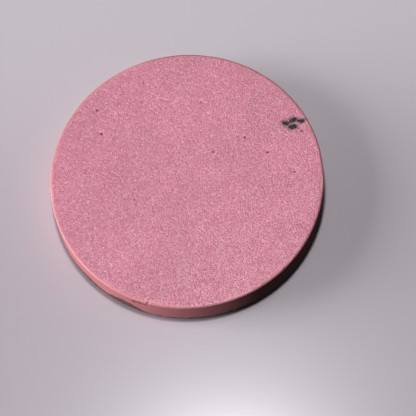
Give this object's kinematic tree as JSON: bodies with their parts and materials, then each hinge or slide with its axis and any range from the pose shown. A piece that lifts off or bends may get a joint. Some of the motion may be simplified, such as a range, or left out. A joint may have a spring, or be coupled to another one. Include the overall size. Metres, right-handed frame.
{
  "type": "shaving soap puck",
  "caption": "Thin round cake of pressed shaving soap with a grained lather face, eased edges, a flat base and dark bits stuck in the face.",
  "frame": {"origin": "centre of the flat base, on the surface that the puck rests on", "axes": "+Z is the cake's axis, up out of the lather face; +X points to the side with the residue flakes, which lie 22.5 degrees anticlockwise from it"},
  "size_m": [0.076, 0.076, 0.0096],
  "materials": {
    "soap": "satin pressed soap, finely grained, rose pink",
    "residue": "dull dried residue, charcoal grey",
    "fleck": "dull dark red-brown grit"
  },
  "bodies": {
    "root": {"soap_cake": "soap", "residue_flake_left": "residue", "residue_flake_upper": "residue", "residue_flake_lower": "residue", "residue_flake_right": "residue", "dark_flecks": "fleck"}
  },
  "joints": []
}
